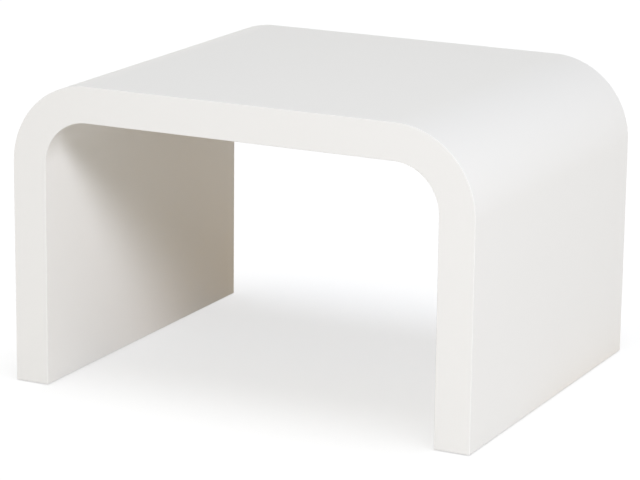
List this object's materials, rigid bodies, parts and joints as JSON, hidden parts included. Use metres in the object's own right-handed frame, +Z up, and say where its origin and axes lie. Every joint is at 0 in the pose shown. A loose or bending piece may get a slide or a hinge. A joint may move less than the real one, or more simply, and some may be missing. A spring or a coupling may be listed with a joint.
{
  "type": "cocktail table",
  "caption": "Low waterfall cocktail table: one thick off-white lacquered slab that bends down into two full-depth legs with rounded corners.",
  "frame": {"origin": "on the floor under the middle of the table", "axes": "+X from the left leg to the right leg, +Y from the front to the back, +Z up"},
  "size_m": [0.762, 0.6, 0.474],
  "materials": {
    "lacquered_board": "satin off-white lacquer over sanded fibreboard",
    "lacquered_ply": "satin off-white lacquer over a bent face ply",
    "bending_ply": "raw bending ply, glued",
    "birch_ply": "raw birch plywood, routed",
    "lacquered_hardwood": "lacquered hardwood",
    "softwood": "planed softwood",
    "beech": "planed beech",
    "zinc_steel": "zinc-plated steel",
    "stem_steel": "bright steel",
    "nylon": "moulded nylon"
  },
  "bodies": {
    "case": {"front_arch": "lacquered_board", "front_loose_tenons": "beech", "glide_inserts": "zinc_steel", "inner_arch_1": "birch_ply", "inner_arch_2": "birch_ply", "inner_arch_3": "birch_ply", "left_inner_bend_ply_1": "lacquered_ply", "left_inner_bend_ply_2": "bending_ply", "left_inner_bend_ply_3": "bending_ply", "left_leg_batten": "softwood", "left_leg_inner_skin": "lacquered_board", "left_leg_outer_skin": "lacquered_board", "left_leg_seam_batten": "softwood", "left_outer_bend_ply_1": "lacquered_ply", "left_outer_bend_ply_2": "bending_ply", "left_outer_bend_ply_3": "bending_ply", "left_sole_rail": "lacquered_hardwood", "left_top_seam_batten": "softwood", "rear_arch": "lacquered_board", "rear_loose_tenons": "beech", "right_inner_bend_ply_1": "lacquered_ply", "right_inner_bend_ply_2": "bending_ply", "right_inner_bend_ply_3": "bending_ply", "right_leg_batten": "softwood", "right_leg_inner_skin": "lacquered_board", "right_leg_outer_skin": "lacquered_board", "right_leg_seam_batten": "softwood", "right_outer_bend_ply_1": "lacquered_ply", "right_outer_bend_ply_2": "bending_ply", "right_outer_bend_ply_3": "bending_ply", "right_sole_rail": "lacquered_hardwood", "right_top_seam_batten": "softwood", "top_centre_batten": "softwood", "top_inner_skin": "lacquered_board", "top_outer_skin": "lacquered_board"},
    "glide_pad_front_left": {"glide_pad_front_left": "nylon"},
    "glide_stem_front_left": {"glide_stem_front_left": "stem_steel"},
    "glide_pad_front_right": {"glide_pad_front_right": "nylon"},
    "glide_stem_front_right": {"glide_stem_front_right": "stem_steel"},
    "glide_pad_rear_left": {"glide_pad_rear_left": "nylon"},
    "glide_stem_rear_left": {"glide_stem_rear_left": "stem_steel"},
    "glide_pad_rear_right": {"glide_pad_rear_right": "nylon"},
    "glide_stem_rear_right": {"glide_stem_rear_right": "stem_steel"}
  },
  "joints": [
    {"name": "front_left_glide_travel", "type": "slide", "parent": "case", "child": "glide_pad_front_left", "axis": [0, 0, -1], "range_m": [0, 0.012]},
    {"name": "front_left_stem_turn", "type": "hinge", "parent": "glide_pad_front_left", "child": "glide_stem_front_left", "pos_m": [-0.353, -0.238, 0], "axis": [0, 0, -1], "range_deg": [0, 3460]},
    {"name": "front_right_glide_travel", "type": "slide", "parent": "case", "child": "glide_pad_front_right", "axis": [0, 0, -1], "range_m": [0, 0.012]},
    {"name": "front_right_stem_turn", "type": "hinge", "parent": "glide_pad_front_right", "child": "glide_stem_front_right", "pos_m": [0.353, -0.238, 0], "axis": [0, 0, -1], "range_deg": [0, 3460]},
    {"name": "rear_left_glide_travel", "type": "slide", "parent": "case", "child": "glide_pad_rear_left", "axis": [0, 0, -1], "range_m": [0, 0.012]},
    {"name": "rear_left_stem_turn", "type": "hinge", "parent": "glide_pad_rear_left", "child": "glide_stem_rear_left", "pos_m": [-0.353, 0.238, 0], "axis": [0, 0, -1], "range_deg": [0, 3460]},
    {"name": "rear_right_glide_travel", "type": "slide", "parent": "case", "child": "glide_pad_rear_right", "axis": [0, 0, -1], "range_m": [0, 0.012]},
    {"name": "rear_right_stem_turn", "type": "hinge", "parent": "glide_pad_rear_right", "child": "glide_stem_rear_right", "pos_m": [0.353, 0.238, 0], "axis": [0, 0, -1], "range_deg": [0, 3460]}
  ],
  "couplings": [
    {"joint": "front_left_stem_turn", "follows": "front_left_glide_travel", "rad_per_m": 5026.5},
    {"joint": "front_right_stem_turn", "follows": "front_right_glide_travel", "rad_per_m": 5026.5},
    {"joint": "rear_left_stem_turn", "follows": "rear_left_glide_travel", "rad_per_m": 5026.5},
    {"joint": "rear_right_stem_turn", "follows": "rear_right_glide_travel", "rad_per_m": 5026.5}
  ]
}
